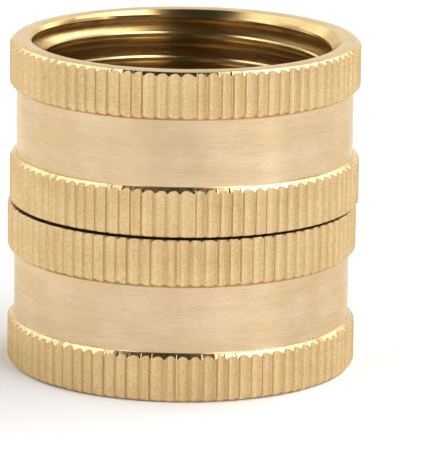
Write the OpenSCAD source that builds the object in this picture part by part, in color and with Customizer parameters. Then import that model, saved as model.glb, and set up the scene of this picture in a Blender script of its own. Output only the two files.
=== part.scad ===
// Double-female swivel hose union: two knurled nuts turning on one flanged tube.
// Millimetres, +Z up, origin at the centre of the lower nut's rim.

/* [Nut] */
// Diameter over the knurled crests
nut_d = 30.6; // [30.2:0.1:32]
// Height of one nut along the axis
nut_h = 14.25; // [13.5:0.05:18]
// Height of each of the two knurled bands on a nut
band_h = 4.2; // [3.4:0.1:5]
// How far the smooth waist lies below the knurled crests
waist_step = 0.58; // [0.52:0.02:0.7]
// Number of straight knurls round a band
knurl_count = 90; // [72:1:110]
// Depth of a knurl groove
knurl_depth = 0.3; // [0.2:0.02:0.4]
// Share of each knurl's pitch that is flat crest
knurl_crest = 0.16; // [0.1:0.02:0.4]
// Thickness of the web that closes a nut round the tube
web_t = 1.8; // [1.4:0.1:2.4]

/* [Hose thread] */
// Major diameter of the internal thread
thread_major_d = 27.24; // [27.2:0.02:27.4]
// Minor diameter of the internal thread
thread_minor_d = 24.7; // [24.6:0.02:24.9]
// Thread pitch, 11.5 turns to the inch
thread_pitch = 2.2087; // [2.1:0.0001:2.3]
// Diameter of the lead-in countersink at the rim
mouth_d = 27.12; // [26.8:0.02:27.6]
// Depth of the first thread root below the rim
first_root = 1.05; // [0.9:0.05:1.3]

/* [Swivel tube] */
// Bore of the waterway
bore_d = 15.5; // [12:0.1:16]
// Outside diameter of the tube where the nuts turn on it
tube_d = 18.5; // [17.6:0.1:19]
// Diameter of the end flanges
flange_d = 23.8; // [22.5:0.1:24.1]
// Thickness of the turned upper flange
flange_t = 1.5; // [1.2:0.1:2]
// Thickness of the rolled lower flange
rolled_t = 1.3; // [1:0.1:1.6]

/* [Washers] */
// Outside diameter of a hose washer
washer_d = 25.1; // [24.6:0.1:25.4]
// Hole through a hose washer
washer_hole_d = 16; // [16:0.1:18]
// Thickness of a hose washer
washer_t = 2.5; // [2:0.1:2.6]

/* [Fits] */
// Gap between the two nuts as they stand
nut_gap = 0.25; // [0.15:0.05:0.5]
// How far the nuts can be pulled apart along the tube
axial_play = 0.5; // [0.2:0.1:0.6]
// Clearance between faces that rest on each other
seat_gap = 0.05; // [0.02:0.01:0.1]
// Radial clearance of a nut's web round the tube
web_clearance = 0.1; // [0.05:0.01:0.2]

/* [Hidden] */
$fn = 96;

brass = [0.80, 0.66, 0.40];
dull_brass = [0.70, 0.56, 0.32];
rubber = [0.10, 0.10, 0.11];

// Radii
nut_r = nut_d / 2;
waist_r = nut_r - waist_step;
major_r = thread_major_d / 2;
minor_r = thread_minor_d / 2;
mouth_r = mouth_d / 2;
bore_r = bore_d / 2;
tube_r = tube_d / 2;
flange_r = flange_d / 2;
washer_r = washer_d / 2;
web_hole_r = tube_r + web_clearance;
relief_r = major_r - 0.55;

// Edge breaks on the bands: [radial, axial]
rim_break = [0.40, 0.25];
waist_break = [0.45, 0.30];
inner_break = [0.35, 0.20];
edge = 0.25;

// Internal thread: a truncated 60 degree form cut as rings
root_flat = thread_pitch / 8;
flank_run = (major_r - minor_r) * tan(30);
root_half = root_flat / 2 + flank_run;
stack_t = max(flange_t, seat_gap + axial_play + rolled_t) + washer_t;
relief_top = web_t + seat_gap + stack_t + 0.15;
thread_depth = nut_h - relief_top;
root_count = floor((thread_depth - first_root - root_half - 0.3) / thread_pitch) + 1;

// Heights of the assembled pieces
upper_nut_z = nut_h + nut_gap;
total_h = upper_nut_z + nut_h;
turned_flange_z = upper_nut_z + web_t + seat_gap;
tube_top = turned_flange_z + flange_t;
rolled_flange_top = nut_h - web_t - seat_gap - axial_play;
tube_bottom = rolled_flange_top - rolled_t;

// One band's outline in plan: crest flats with V grooves between them.
module knurl_outline() {
    pitch_deg = 360 / knurl_count;
    crest_deg = pitch_deg * knurl_crest / 2;
    polygon([
        for (i = [0 : knurl_count - 1])
            for (p = [
                [nut_r, -crest_deg],
                [nut_r, crest_deg],
                [nut_r - knurl_depth, pitch_deg / 2]
            ])
                p[0] * [cos(i * pitch_deg + p[1]), sin(i * pitch_deg + p[1])]
    ]);
}

// A knurled band from z = 0 to band_h, its edges broken by [radial, axial].
module knurled_band(bottom_break, top_break) {
    intersection() {
        linear_extrude(height = band_h)
            knurl_outline();
        rotate_extrude()
            polygon([
                [0, 0],
                [nut_r - bottom_break[0], 0],
                [nut_r + 0.01, bottom_break[1]],
                [nut_r + 0.01, band_h - top_break[1]],
                [nut_r - top_break[0], band_h],
                [0, band_h]
            ]);
    }
}

// Points of one thread root, by depth below the rim.
function root_points(depth) = [
    [minor_r, nut_h - (depth - root_half)],
    [major_r, nut_h - (depth - root_flat / 2)],
    [major_r, nut_h - (depth + root_flat / 2)],
    [minor_r, nut_h - (depth + root_half)]
];

// Space inside a nut: web hole, washer relief, thread and countersink.
module nut_cavity() {
    cone_depth = mouth_r - minor_r;
    rotate_extrude() {
        polygon(concat(
            [[0, nut_h + 1], [minor_r, nut_h + 1]],
            [for (i = [0 : root_count - 1])
                each root_points(first_root + i * thread_pitch)],
            [
                [minor_r, relief_top + (relief_r - minor_r)],
                [relief_r, relief_top],
                [relief_r, web_t],
                [web_hole_r + edge, web_t],
                [web_hole_r, web_t - edge],
                [web_hole_r, edge],
                [web_hole_r + edge, 0],
                [web_hole_r + edge, -1],
                [0, -1]
            ]
        ));
        polygon([
            [0, nut_h - cone_depth],
            [minor_r, nut_h - cone_depth],
            [mouth_r, nut_h],
            [mouth_r, nut_h + 1],
            [0, nut_h + 1]
        ]);
    }
}

// One nut, open end up, its web resting on z = 0.
module nut() {
    difference() {
        union() {
            cylinder(r = waist_r, h = nut_h);
            knurled_band(inner_break, waist_break);
            translate([0, 0, nut_h - band_h])
                knurled_band(waist_break, rim_break);
        }
        nut_cavity();
    }
}

module upper_nut() {
    color(brass)
        translate([0, 0, upper_nut_z])
            nut();
}

module lower_nut() {
    color(brass)
        translate([0, 0, nut_h])
            mirror([0, 0, 1])
                nut();
}

// Tube with a turned flange at the top and a rolled one at the bottom.
module swivel_tube() {
    mouth = 0.5;
    roll_r = rolled_t - 0.3;
    color(dull_brass)
        rotate_extrude()
            difference() {
                polygon([
                    [bore_r, tube_bottom],
                    [flange_r - 0.2, tube_bottom],
                    [flange_r, tube_bottom + 0.2],
                    [flange_r, rolled_flange_top - 0.2],
                    [flange_r - 0.2, rolled_flange_top],
                    [tube_r, rolled_flange_top],
                    [tube_r, turned_flange_z],
                    [flange_r - 0.15, turned_flange_z],
                    [flange_r, turned_flange_z + 0.15],
                    [flange_r, tube_top - 0.15],
                    [flange_r - 0.15, tube_top],
                    [bore_r + mouth, tube_top],
                    [bore_r, tube_top - mouth]
                ]);
                rolled_mouth(roll_r);
            }
}

// Rounded mouth that the rolled flange leaves at the bottom of the bore, in section.
module rolled_mouth(r) {
    difference() {
        translate([bore_r - 1, tube_bottom - 1])
            square([r + 1, r + 1]);
        translate([bore_r + r, tube_bottom + r])
            circle(r = r);
    }
}

// A flat hose washer standing on z.
module washer(z) {
    color(rubber)
        translate([0, 0, z])
            rotate_extrude()
                polygon([
                    [washer_hole_d / 2, 0],
                    [washer_r - edge, 0],
                    [washer_r, edge],
                    [washer_r, washer_t - edge],
                    [washer_r - edge, washer_t],
                    [washer_hole_d / 2, washer_t]
                ]);
}

module upper_washer() {
    washer(tube_top);
}

module lower_washer() {
    washer(tube_bottom - seat_gap - washer_t);
}

lower_nut();
lower_washer();
swivel_tube();
upper_washer();
upper_nut();
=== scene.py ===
import math
import random

import bmesh
import bpy
from mathutils import Matrix, Vector


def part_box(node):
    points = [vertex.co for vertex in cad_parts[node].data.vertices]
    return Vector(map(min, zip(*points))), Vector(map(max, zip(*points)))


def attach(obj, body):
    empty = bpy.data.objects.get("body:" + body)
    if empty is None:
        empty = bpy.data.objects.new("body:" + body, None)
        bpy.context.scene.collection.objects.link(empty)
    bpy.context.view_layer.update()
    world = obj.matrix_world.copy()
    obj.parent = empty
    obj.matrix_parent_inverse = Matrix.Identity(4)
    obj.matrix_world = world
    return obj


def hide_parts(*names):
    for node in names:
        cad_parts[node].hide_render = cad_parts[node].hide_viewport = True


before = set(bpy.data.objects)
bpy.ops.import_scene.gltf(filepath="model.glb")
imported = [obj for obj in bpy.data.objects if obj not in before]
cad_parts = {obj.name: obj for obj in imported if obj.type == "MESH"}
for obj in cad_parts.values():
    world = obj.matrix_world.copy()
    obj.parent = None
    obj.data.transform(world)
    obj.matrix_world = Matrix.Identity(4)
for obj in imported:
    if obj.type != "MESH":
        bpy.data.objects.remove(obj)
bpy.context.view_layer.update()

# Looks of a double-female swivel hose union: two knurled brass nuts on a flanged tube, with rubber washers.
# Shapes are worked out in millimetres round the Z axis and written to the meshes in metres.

MM = 0.001
TURN = 2 * math.pi


def box_mm(node):
    """Lowest and highest corner of a CAD node, in millimetres."""
    low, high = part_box(node)
    return Vector(low) / MM, Vector(high) / MM


# ---------------------------------------------------------------- sizes, mm

upper_low, upper_high = box_mm("upper_nut")
lower_high = box_mm("lower_nut")[1]
tube_low, tube_high = box_mm("swivel_tube")
washer_low, washer_high = box_mm("upper_washer")
lower_washer_low = box_mm("lower_washer")[0]

NUT_R = (upper_high.x - upper_low.x) / 2
NUT_H = upper_high.z - upper_low.z
BAND_H = 4.2
WAIST_R = NUT_R - 0.58
WEB_T = 1.8
SIDE_SLACK = 0.09  # each nut sits this far off the axis, inside its clearance on the tube

KNURLS = 90
KNURL_DEPTH = 0.30
KNURL_DEPTH_SPREAD = (0.80, 1.04)
RIDGE_SHIFT = 0.09  # how far a ridge may stray from its place, in pitches
# Painted shade: each knurl ridge is darkened by a random strength between this and 1.
LEAST_PAINTED_RIDGE_SHADE = 0.15
NICK = 0.045  # the most that a flute's end is broken back
# Across one knurl's pitch: (position, share of the flute's depth, share of painted ridge shade). A thin ridge is
# at 0.
KNURL_SHAPE = [
    (0.0, 0.0, 1.0),
    (0.06, 0.08, 1.0),
    (0.16, 0.50, 0.25),
    (0.29, 0.86, 0.0),
    (0.50, 1.0, 0.0),
    (0.71, 0.86, 0.0),
    (0.84, 0.50, 0.25),
    (0.94, 0.08, 1.0),
]

# Edge breaks, as (radial, axial): at the rim, beside the waist, and at the gap between the nuts
RIM_BREAK = (0.36, 0.30)
WAIST_BREAK = (0.45, 0.38)
INNER_BREAK = (0.20, 0.10)

MAJOR_R = 13.62
MINOR_R = 12.35
PITCH = 2.2087
MOUTH_R = 13.56
RIM_CROWN_R = 14.25  # the rim falls away a little on both sides of this ring
RIM_CROWN_HALF = 0.04
RIM_FALL = 0.04
CORNER_EASE = 0.08  # rounding where the waist meets its bands
RELIEF_R = MAJOR_R - 0.55
RELIEF_DEPTH = 7.9  # from the rim down to the washer's relief
RUN_OUT = 1.0  # length over which the thread's root rises to meet the relief
ROOT_FLAT = PITCH / 8
FLANK = (MAJOR_R - MINOR_R) * math.tan(math.radians(30))

TUBE_R = 9.25
WEB_HOLE_R = TUBE_R + 0.1
HOLE_BREAK = 0.25
RELIEF_BREAK = 0.15
BORE_R = 7.75
FLANGE_R = (tube_high.x - tube_low.x) / 2
WASHER_R = (washer_high.x - washer_low.x) / 2
WASHER_HOLE_R = 8.0
WASHER_T = washer_high.z - washer_low.z

UPPER_THREAD_START = 0.55  # depth of the thread's first crest on the nut's +X side
LOWER_THREAD_START = 0.35


# ---------------------------------------------------------------- materials


class Nodes:
    """A small helper that adds and links shader nodes."""

    def __init__(self, tree):
        self.tree = tree

    def add(self, kind, **settings):
        node = self.tree.nodes.new(kind)
        for key, value in settings.items():
            setattr(node, key, value)
        return node

    def link(self, source, target):
        self.tree.links.new(source, target)

    def math(self, operation, a, b=None):
        node = self.add("ShaderNodeMath", operation=operation)
        for socket, value in zip(node.inputs, (a, b)):
            self.feed(socket, value)
        return node.outputs[0]

    def feed(self, socket, value):
        if value is None:
            return
        if isinstance(value, bpy.types.NodeSocket):
            self.link(value, socket)
        else:
            socket.default_value = value

    def noise(self, vector, scale, detail=3.0, rough=0.6):
        node = self.add("ShaderNodeTexNoise")
        self.link(vector, node.inputs["Vector"])
        node.inputs["Scale"].default_value = scale
        node.inputs["Detail"].default_value = detail
        node.inputs["Roughness"].default_value = rough
        return node.outputs["Fac"]

    def remap(self, value, a, b, low, high):
        node = self.add("ShaderNodeMapRange", interpolation_type="SMOOTHSTEP")
        self.link(value, node.inputs["Value"])
        for name, number in (("From Min", a), ("From Max", b), ("To Min", low), ("To Max", high)):
            node.inputs[name].default_value = number
        return node.outputs["Result"]

    def between(self, value, rise, fall):
        """1 between two soft edges and 0 outside them. An edge is the two values where it starts and ends."""
        up = self.remap(value, rise[0], rise[1], 0.0, 1.0)
        return self.math("MULTIPLY", up, self.remap(value, fall[0], fall[1], 1.0, 0.0))

    def mix(self, factor, a, b, blend="MIX"):
        node = self.add("ShaderNodeMix", data_type="RGBA", blend_type=blend)
        self.feed(node.inputs[0], factor)
        self.feed(node.inputs[6], a)
        self.feed(node.inputs[7], b)
        return node.outputs[2]

    def bump(self, height, strength, distance, normal=None):
        node = self.add("ShaderNodeBump")
        node.inputs["Strength"].default_value = strength
        node.inputs["Distance"].default_value = distance
        self.link(height, node.inputs["Height"])
        self.feed(node.inputs["Normal"], normal)
        return node.outputs["Normal"]


def new_material(name):
    mat = bpy.data.materials.new(name)
    mat.use_nodes = True
    return mat, Nodes(mat.node_tree), mat.node_tree.nodes["Principled BSDF"]


def turning_marks(n, along, across):
    """Coordinates stretched round the axis, so noise on them reads as the marks of a lathe tool."""
    place = n.add("ShaderNodeTexCoord").outputs["Object"]
    split = n.add("ShaderNodeSeparateXYZ")
    n.link(place, split.inputs[0])
    x, y, z = split.outputs
    radius = n.math("SQRT", n.math("ADD", n.math("MULTIPLY", x, x), n.math("MULTIPLY", y, y)))
    lane = n.math("ADD", z, n.math("MULTIPLY", radius, 1.7))
    join = n.add("ShaderNodeCombineXYZ")
    n.link(n.math("MULTIPLY", x, along), join.inputs[0])
    n.link(n.math("MULTIPLY", y, along), join.inputs[1])
    n.link(n.math("MULTIPLY", lane, across), join.inputs[2])
    return place, join.outputs[0]


def brass(name, light, dark, roughness, anisotropy, marks, grain):
    """Cut brass: fine marks round the axis, a faint cloudy tint, a fine grain, and painted shade on and beside the
    knurls' ridges.

    marks and grain are each (depth in millimetres, tone of their darkest places).
    """
    mat, n, shader = new_material(name)
    place, turned = turning_marks(n, 320.0, 5200.0)
    fine = n.noise(turned, 1.0, 3.0, 0.65)
    broad = n.noise(turned, 0.16, 2.0, 0.5)
    cloud = n.noise(place, 260.0, 3.0, 0.55)
    pits = n.noise(place, 6500.0, 2.0, 0.7)
    tint = n.math("ADD", n.math("MULTIPLY", cloud, 0.6), n.math("MULTIPLY", broad, 0.4))
    colour = n.mix(n.remap(tint, 0.35, 0.65, 0.0, 1.0), light, dark)
    wear_and_painted_shade = n.remap(fine, 0.30, 0.60, marks[1], 1.0)
    wear_and_painted_shade = n.math("MULTIPLY", wear_and_painted_shade, n.remap(pits, 0.30, 0.60, grain[1], 1.0))
    painted_ridge_shade = n.add("ShaderNodeAttribute", attribute_name="painted_ridge_shade").outputs["Fac"]
    # Painted shade: the colour is darkened on and beside the knurls' ridges, by the vertex attribute, to as little
    # as 0.82.
    wear_and_painted_shade = n.math("MULTIPLY", wear_and_painted_shade, n.remap(painted_ridge_shade, 0.0, 1.0, 1.0, 0.82))
    grey = n.add("ShaderNodeCombineColor")
    for socket in grey.inputs[:3]:
        n.link(wear_and_painted_shade, socket)
    n.link(n.mix(1.0, colour, grey.outputs[0], "MULTIPLY"), shader.inputs["Base Color"])
    rough = n.math("ADD", n.math("MULTIPLY", fine, 0.14), n.math("MULTIPLY", cloud, 0.10))
    n.link(n.math("ADD", rough, roughness - 0.12), shader.inputs["Roughness"])
    shader.inputs["Metallic"].default_value = 1.0
    shader.inputs["Specular Tint"].default_value = (0.92, 0.86, 0.72, 1)
    shader.inputs["Anisotropic"].default_value = anisotropy
    shader.inputs["Anisotropic Rotation"].default_value = 0.25
    tangent = n.add("ShaderNodeTangent", direction_type="RADIAL", axis="Z")
    n.link(tangent.outputs[0], shader.inputs["Tangent"])
    lines = n.bump(fine, 0.6, marks[0] * MM)
    n.link(n.bump(pits, 0.7, grain[0] * MM, lines), shader.inputs["Normal"])
    return mat


def rubber(name):
    """Moulded black rubber with a fine matt skin and a little dust."""
    mat, n, shader = new_material(name)
    place = n.add("ShaderNodeTexCoord").outputs["Object"]
    grain = n.noise(place, 2600.0, 3.0, 0.7)
    dust = n.noise(place, 420.0, 4.0, 0.6)
    colour = n.mix(n.remap(dust, 0.5, 0.75, 0.0, 1.0), (0.018, 0.018, 0.019, 1), (0.05, 0.047, 0.042, 1))
    n.link(colour, shader.inputs["Base Color"])
    n.link(n.remap(dust, 0.3, 0.7, 0.5, 0.72), shader.inputs["Roughness"])
    n.link(n.bump(grain, 0.5, 0.02 * MM), shader.inputs["Normal"])
    return mat


def floor_material():
    """Plain pale card."""
    mat, n, shader = new_material("pale_floor")
    place = n.add("ShaderNodeTexCoord").outputs["Object"]
    fleck = n.noise(place, 60.0, 2.0, 0.5)
    n.link(n.mix(fleck, (0.93, 0.93, 0.93, 1), (0.96, 0.96, 0.96, 1)), shader.inputs["Base Color"])
    shader.inputs["Roughness"].default_value = 0.9
    shader.inputs["Specular IOR Level"].default_value = 0.1
    return mat


TURNED = brass(
    "brass_turned",
    light=(0.725, 0.545, 0.345, 1),
    dark=(0.655, 0.475, 0.275, 1),
    roughness=0.28,
    anisotropy=0.6,
    marks=(0.006, 0.93),
    grain=(0.004, 0.96),
)
KNURLED = brass(
    "brass_knurled",
    light=(0.785, 0.58, 0.305, 1),
    dark=(0.745, 0.53, 0.265, 1),
    roughness=0.38,
    anisotropy=0.0,
    marks=(0.003, 0.95),
    grain=(0.040, 0.76),
)
# Inside the bore: darker and browner than the brass outside, which paints the bore's shade into its colour.
THREADED = brass(
    "brass_threaded",
    light=(0.70, 0.50, 0.235, 1),
    dark=(0.60, 0.41, 0.17, 1),
    roughness=0.24,
    anisotropy=0.7,
    marks=(0.008, 0.80),
    grain=(0.004, 1.0),
)
CUT = brass(
    "brass_cut",
    light=(0.75, 0.56, 0.315, 1),
    dark=(0.68, 0.485, 0.245, 1),
    roughness=0.20,
    anisotropy=0.5,
    marks=(0.006, 0.88),
    grain=(0.004, 0.96),
)
RUBBER = rubber("rubber_moulded")


# ---------------------------------------------------------------- meshes


def finish_mesh(name, bm, materials, sharp_deg):
    """Cleans bm, marks its sharp edges and puts it in the scene, in metres."""
    bmesh.ops.remove_doubles(bm, verts=bm.verts, dist=1e-4)
    bmesh.ops.dissolve_degenerate(bm, edges=bm.edges, dist=1e-5)
    bmesh.ops.recalc_face_normals(bm, faces=bm.faces)
    limit = math.radians(sharp_deg)
    for face in bm.faces:
        face.smooth = True
    for edge in bm.edges:
        edge.smooth = edge.calc_face_angle(0.0) < limit
    bmesh.ops.scale(bm, vec=(MM, MM, MM), verts=bm.verts)
    mesh = bpy.data.meshes.new(name)
    bm.to_mesh(mesh)
    bm.free()
    for mat in materials:
        mesh.materials.append(mat)
    piece = bpy.data.objects.new(name, mesh)
    bpy.context.scene.collection.objects.link(piece)
    return piece


def chamfer_at(radius, breaks):
    """How far in from its face a band reaches this radius, on the cone (radial, axial) breaks."""
    return breaks[1] * (1 - (NUT_R - radius) / breaks[0])


def knurl_columns(rng):
    """(angle, radius, share of painted ridge shade, nick at its ends) of each column, no two flutes quite alike.
    """
    ridges = [k + rng.uniform(-RIDGE_SHIFT, RIDGE_SHIFT) for k in range(KNURLS)]
    painted_ridge_shades = [rng.uniform(LEAST_PAINTED_RIDGE_SHADE, 1.0) for k in range(KNURLS)]
    columns = []
    for k in range(KNURLS):
        depth = KNURL_DEPTH * rng.uniform(*KNURL_DEPTH_SPREAD)
        width = (ridges[(k + 1) % KNURLS] - ridges[k]) % KNURLS
        for position, share, painted_ridge_shade in KNURL_SHAPE:
            # How strongly the painted ridge shade darkens this column, taken from its nearer ridge.
            ridge = painted_ridge_shades[k] if position < 0.5 else painted_ridge_shades[(k + 1) % KNURLS]
            angle = (ridges[k] + position * width) * TURN / KNURLS
            nick = rng.uniform(0.0, NICK) ** 2 / NICK
            columns.append((angle, NUT_R - depth * share, painted_ridge_shade * ridge, nick))
    return columns


# Material slots on a nut
TURNED_ZONE, KNURL_ZONE, THREAD_ZONE, CUT_ZONE = 0, 1, 2, 3


def outside_rows(radius, nick):
    """A nut's outside from the web's hole to the mouth: (radius, height, zone of the face that follows)."""
    waist_top = NUT_H - BAND_H
    ease = CORNER_EASE
    face_top = NUT_H - RIM_FALL
    return [
        (WEB_HOLE_R + HOLE_BREAK, 0, TURNED_ZONE),
        (NUT_R - INNER_BREAK[0] - 1.2, 0, TURNED_ZONE),
        (NUT_R - INNER_BREAK[0], 0, TURNED_ZONE),
        (radius, chamfer_at(radius, INNER_BREAK) + nick, KNURL_ZONE),
        (radius, BAND_H - chamfer_at(radius, WAIST_BREAK) - nick, CUT_ZONE),
        (NUT_R - WAIST_BREAK[0], BAND_H, CUT_ZONE),
        (WAIST_R + ease, BAND_H, CUT_ZONE),
        (WAIST_R + ease * 0.3, BAND_H + ease * 0.3, TURNED_ZONE),
        (WAIST_R, BAND_H + ease, TURNED_ZONE),
        (WAIST_R, waist_top - ease, TURNED_ZONE),
        (WAIST_R + ease * 0.3, waist_top - ease * 0.3, CUT_ZONE),
        (WAIST_R + ease, waist_top, CUT_ZONE),
        (NUT_R - WAIST_BREAK[0], waist_top, CUT_ZONE),
        (radius, waist_top + chamfer_at(radius, WAIST_BREAK) + nick, KNURL_ZONE),
        (radius, face_top - chamfer_at(radius, RIM_BREAK) - nick, CUT_ZONE),
        (NUT_R - RIM_BREAK[0], face_top, CUT_ZONE),
        (RIM_CROWN_R + RIM_CROWN_HALF, NUT_H, CUT_ZONE),
        (RIM_CROWN_R - RIM_CROWN_HALF, NUT_H, CUT_ZONE),
        (MOUTH_R + 0.04, face_top, CUT_ZONE),
    ]


# One turn of thread from the middle of a crest, as (share of the pitch, share of the depth).
CREST_EASE = 0.035
FLANK_SHARE = FLANK / PITCH
CREST_HALF = (1 - ROOT_FLAT / PITCH) / 2 - FLANK_SHARE
THREAD_SHAPE = [
    (0.0, 0.0),
    (CREST_HALF - CREST_EASE, 0.0),
    (CREST_HALF + CREST_EASE, CREST_EASE / FLANK_SHARE),
    (CREST_HALF + FLANK_SHARE * 0.4, 0.4),
    (CREST_HALF + FLANK_SHARE * 0.7, 0.7),
    (CREST_HALF + FLANK_SHARE, 1.0),
    (1 - CREST_HALF - FLANK_SHARE, 1.0),
    (1 - CREST_HALF - FLANK_SHARE * 0.7, 0.7),
    (1 - CREST_HALF - FLANK_SHARE * 0.4, 0.4),
    (1 - CREST_HALF - CREST_EASE, CREST_EASE / FLANK_SHARE),
    (1 - CREST_HALF + CREST_EASE, 0.0),
]
THREAD_TURNS = math.ceil(RELIEF_DEPTH / PITCH) + 2


def thread_rows(angle, start):
    """The thread down one column. Its rows follow the helix, so the last column is one turn ahead of the first."""
    rows = []
    for turn in range(THREAD_TURNS):
        for share, cut in THREAD_SHAPE:
            depth = start + (turn - 1 + share - angle / TURN) * PITCH
            depth = min(max(depth, 0.0), RELIEF_DEPTH)
            fade = min(1.0, (RELIEF_DEPTH - depth) / RUN_OUT)
            root = RELIEF_R + (MAJOR_R - RELIEF_R) * fade
            thread = min(MINOR_R + (MAJOR_R - MINOR_R) * cut, root)
            countersink = MOUTH_R - max(depth - RIM_FALL, 0.0)
            taper = RELIEF_R - (RELIEF_DEPTH - depth)
            if depth == 0.0:
                thread = MOUTH_R
            if depth == RELIEF_DEPTH:
                thread = RELIEF_R
            rows.append((max(thread, countersink, taper), NUT_H - max(depth, RIM_FALL), THREAD_ZONE))
    return rows


def inside_rows():
    """From the relief down over the web to its hole."""
    return [
        (RELIEF_R, WEB_T + RELIEF_BREAK, TURNED_ZONE),
        (RELIEF_R - RELIEF_BREAK, WEB_T, TURNED_ZONE),
        (WEB_HOLE_R + HOLE_BREAK, WEB_T, TURNED_ZONE),
        (WEB_HOLE_R, WEB_T - HOLE_BREAK, TURNED_ZONE),
        (WEB_HOLE_R, HOLE_BREAK, TURNED_ZONE),
    ]


def nut_mesh(seed, thread_start):
    """One closed nut, open end up, its web on z = 0: knurls outside, a right-hand helix inside."""
    columns = knurl_columns(random.Random(seed))
    bm = bmesh.new()
    # Vertex attribute: how strongly each vertex is darkened by painted shade along the knurl ridges.
    painted_ridge_shade_layer = bm.verts.layers.float.new("painted_ridge_shade")
    grid, zones = [], []
    for angle, radius, painted_ridge_shade, nick in columns:
        outer = outside_rows(radius, nick)
        thread = thread_rows(angle, thread_start)
        inner = inside_rows()
        around = (math.cos(angle), math.sin(angle))
        grid.append([
            [bm.verts.new((r * around[0], r * around[1], z)) for r, z, zone in part]
            for part in (outer, thread, inner)
        ])
        zones.append([[zone for r, z, zone in part] for part in (outer, thread, inner)])
        # Only the knurls' own vertices carry the painted ridge shade; all others stay at 0.
        for (r, z, zone), vert in zip(outer, grid[-1][0]):
            if r == radius:
                vert[painted_ridge_shade_layer] = painted_ridge_shade

    def quad(a, b, c, d, zone):
        face = bm.faces.new((a, b, c, d))
        face.material_index = zone

    step = len(THREAD_SHAPE)
    for i, here in enumerate(grid):
        wrap = i + 1 == len(grid)
        there = grid[0] if wrap else grid[i + 1]
        shift = step if wrap else 0
        outer, thread, inner = here
        next_outer, next_thread, next_inner = there
        for j in range(len(outer) - 1):
            quad(outer[j], next_outer[j], next_outer[j + 1], outer[j + 1], zones[i][0][j])
        quad(outer[-1], next_outer[-1], next_thread[0], thread[0], CUT_ZONE)
        for j in range(len(thread) - 1):
            k = j - shift
            if k >= 0:
                quad(thread[j], next_thread[k], next_thread[k + 1], thread[j + 1], THREAD_ZONE)
        quad(thread[-1], next_thread[-1], next_inner[0], inner[0], TURNED_ZONE)
        for j in range(len(inner) - 1):
            quad(inner[j], next_inner[j], next_inner[j + 1], inner[j + 1], TURNED_ZONE)
        quad(inner[-1], next_inner[-1], next_outer[0], outer[0], TURNED_ZONE)
    return bm


def add_nut(name, body, seed, thread_start, place):
    """Puts one nut at place, as the visual of the CAD body and node of that name."""
    bm = nut_mesh(seed, thread_start)
    bmesh.ops.transform(bm, matrix=place, verts=bm.verts)
    piece = finish_mesh(name, bm, [TURNED, KNURLED, THREADED, CUT], 16)
    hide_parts(body)
    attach(piece, body)
    return piece


def turned_by(degrees):
    return Matrix.Rotation(math.radians(degrees), 4, "Z")


upper_place = Matrix.Translation((SIDE_SLACK, 0, upper_low.z)) @ turned_by(1.0)
lower_place = (
    Matrix.Translation((-SIDE_SLACK, 0, lower_high.z)) @ Matrix.Rotation(math.pi, 4, "X") @ turned_by(3.0)
)
upper_nut = add_nut("upper_nut_brass", "upper_nut", 11, UPPER_THREAD_START, upper_place)
lower_nut = add_nut("lower_nut_brass", "lower_nut", 23, LOWER_THREAD_START, lower_place)


def lathe(name, outline, materials, segments=192, sharp_deg=24):
    """A closed turned piece from its outline of (radius, height), in millimetres."""
    bm = bmesh.new()
    rings = []
    for i in range(segments):
        angle = TURN * i / segments
        rings.append([bm.verts.new((r * math.cos(angle), r * math.sin(angle), z)) for r, z in outline])
    for i, ring in enumerate(rings):
        after = rings[(i + 1) % segments]
        for j in range(len(outline)):
            k = (j + 1) % len(outline)
            bm.faces.new((ring[j], after[j], after[k], ring[k]))
    return finish_mesh(name, bm, materials, sharp_deg)


def arc(centre, radius, start_deg, end_deg, steps=6):
    """Points on an arc in the outline's plane."""
    points = []
    for i in range(steps + 1):
        a = math.radians(start_deg + (end_deg - start_deg) * i / steps)
        points.append((centre[0] + radius * math.cos(a), centre[1] + radius * math.sin(a)))
    return points


def tube_outline():
    """The tube, with its turned flange above and its rolled flange below."""
    turned_t, rolled_t = 1.5, 1.3
    flange_under = tube_high.z - turned_t
    rolled_top = tube_low.z + rolled_t
    edge = 0.15
    flare = 1.0
    roll = rolled_t / 2
    return (
        [(BORE_R, tube_low.z + flare)]
        + arc((BORE_R + flare, tube_low.z + flare), flare, 180, 270, 8)
        + arc((FLANGE_R - roll, tube_low.z + roll), roll, -90, 90, 10)
        + [(TUBE_R, rolled_top), (TUBE_R, flange_under)]
        + [(FLANGE_R - edge, flange_under)]
        + arc((FLANGE_R - edge, flange_under + edge), edge, -90, 0, 3)[1:]
        + arc((FLANGE_R - edge, tube_high.z - edge), edge, 0, 90, 3)
        + [(BORE_R + 0.5, tube_high.z), (BORE_R + 0.38, tube_high.z - 0.03), (BORE_R, tube_high.z - 0.5)]
    )


def washer_outline(low):
    """A flat hose washer with soft edges and a shallow sealing bead on each face."""
    high = low + WASHER_T
    edge = 0.25
    dish = 0.06
    middle = (WASHER_R + WASHER_HOLE_R) / 2
    return (
        arc((WASHER_HOLE_R + edge, low + edge), edge, 180, 270, 4)
        + [(middle - 1.3, low), (middle - 1.0, low + dish), (middle + 1.0, low + dish), (middle + 1.3, low)]
        + arc((WASHER_R - edge, low + edge), edge, -90, 0, 4)
        + arc((WASHER_R - edge, high - edge), edge, 0, 90, 4)
        + [(middle + 1.3, high), (middle + 1.0, high - dish), (middle - 1.0, high - dish), (middle - 1.3, high)]
        + arc((WASHER_HOLE_R + edge, high - edge), edge, 90, 180, 4)
    )


tube = lathe("swivel_tube_brass", tube_outline(), [TURNED])
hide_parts("swivel_tube")
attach(tube, "tube")

for name, node, body, low in (
    ("upper_washer_rubber", "upper_washer", "tube", washer_low.z),
    ("lower_washer_rubber", "lower_washer", "lower_washer", lower_washer_low.z),
):
    washer = lathe(name, washer_outline(low), [RUBBER])
    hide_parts(node)
    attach(washer, body)


# ---------------------------------------------------------------- stage


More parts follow.
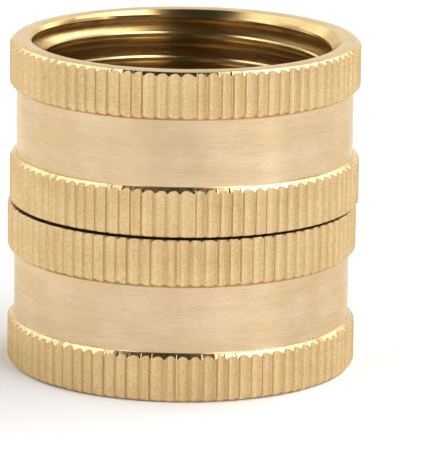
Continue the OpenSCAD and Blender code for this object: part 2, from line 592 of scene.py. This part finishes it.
def add_floor():
    """A flat floor, large enough to fill every view."""
    half_width = 3.0  # metres
    bm = bmesh.new()
    bmesh.ops.create_grid(bm, x_segments=2, y_segments=2, size=half_width)
    mesh = bpy.data.meshes.new("floor")
    bm.to_mesh(mesh)
    bm.free()
    mesh.materials.append(floor_material())
    floor = bpy.data.objects.new("floor", mesh)
    bpy.context.scene.collection.objects.link(floor)


def add_world():
    """Studio light: overhead, a bright strip each side of a dark lane. Low down, an even glow with one panel.

    x, y and z are the parts of the direction looked in: right, away from the front, and up.
    """
    world = bpy.data.worlds.new("studio")
    bpy.context.scene.world = world
    world.use_nodes = True
    n = Nodes(world.node_tree)
    background = world.node_tree.nodes["Background"]
    direction = n.add("ShaderNodeTexCoord").outputs["Generated"]
    split = n.add("ShaderNodeSeparateXYZ")
    n.link(direction, split.inputs[0])
    x, y, z = split.outputs
    above = n.remap(z, 0.28, 0.55, 0.0, 1.0)
    right = n.between(x, (0.25, 0.29), (0.58, 0.64))
    left = n.between(x, (-0.66, -0.61), (-0.45, -0.41))
    lane = n.between(x, (-0.45, -0.41), (0.25, 0.29))

    # High up: a dim ceiling, the two strips, and the lane
    high = n.math("ADD", n.math("MULTIPLY", right, 3.6), n.math("MULTIPLY", left, 2.0))
    high = n.math("ADD", high, 0.60)
    high = n.math("SUBTRACT", high, n.math("MULTIPLY", lane, 0.56))

    # Low down: the glow, a panel at the front right, and a dark place straight in front
    panel = n.between(x, (0.77, 0.81), (0.88, 0.92))
    panel = n.math("MULTIPLY", panel, n.remap(y, -0.40, -0.30, 1.0, 0.0))
    front = n.math("MULTIPLY", n.remap(y, -0.75, -0.50, 1.0, 0.0), n.remap(z, -0.02, 0.10, 0.0, 1.0))
    front = n.math("MULTIPLY", front, lane)
    glow = n.remap(x, 0.88, 0.96, 1.14, 0.95)
    low = n.math("ADD", n.math("MULTIPLY", panel, 2.4), glow)
    low = n.math("SUBTRACT", low, front)

    below = n.math("SUBTRACT", 1.0, above)
    level = n.math("ADD", n.math("MULTIPLY", high, above), n.math("MULTIPLY", low, below))
    n.link(level, background.inputs["Strength"])
    background.inputs["Color"].default_value = (1.0, 1.0, 1.0, 1)


def add_camera():
    """The photograph's view: a long lens 13 degrees above the horizon, turned and rolled very slightly."""
    elevation, distance, aim_height = math.radians(13.223), 386.2, 14.085
    yaw, pitch, roll = math.radians(0.466), math.radians(-0.319), math.radians(0.749)
    spot = Vector((0, -distance * math.cos(elevation), aim_height + distance * math.sin(elevation)))
    ahead = (Vector((0, 0, aim_height)) - spot).normalized()
    right = ahead.cross(Vector((0, 0, 1))).normalized()
    up = right.cross(ahead)
    level = ahead * math.cos(yaw) + right * math.sin(yaw)
    ahead = level * math.cos(pitch) + up * math.sin(pitch)
    right = ahead.cross(Vector((0, 0, 1))).normalized()
    up = right.cross(ahead)
    right, up = (
        right * math.cos(roll) + up * math.sin(roll),
        up * math.cos(roll) - right * math.sin(roll),
    )
    data = bpy.data.cameras.new("camera")
    data.lens = 349.3
    data.sensor_width = 36.0
    data.clip_end = 10.0
    camera = bpy.data.objects.new("camera", data)
    bpy.context.scene.collection.objects.link(camera)
    turn = Matrix((right, up, -ahead)).transposed().to_4x4()
    camera.matrix_world = Matrix.Translation(spot * MM) @ turn
    bpy.context.scene.camera = camera


add_floor()
add_world()
add_camera()
bpy.context.scene.view_settings.view_transform = "Standard"
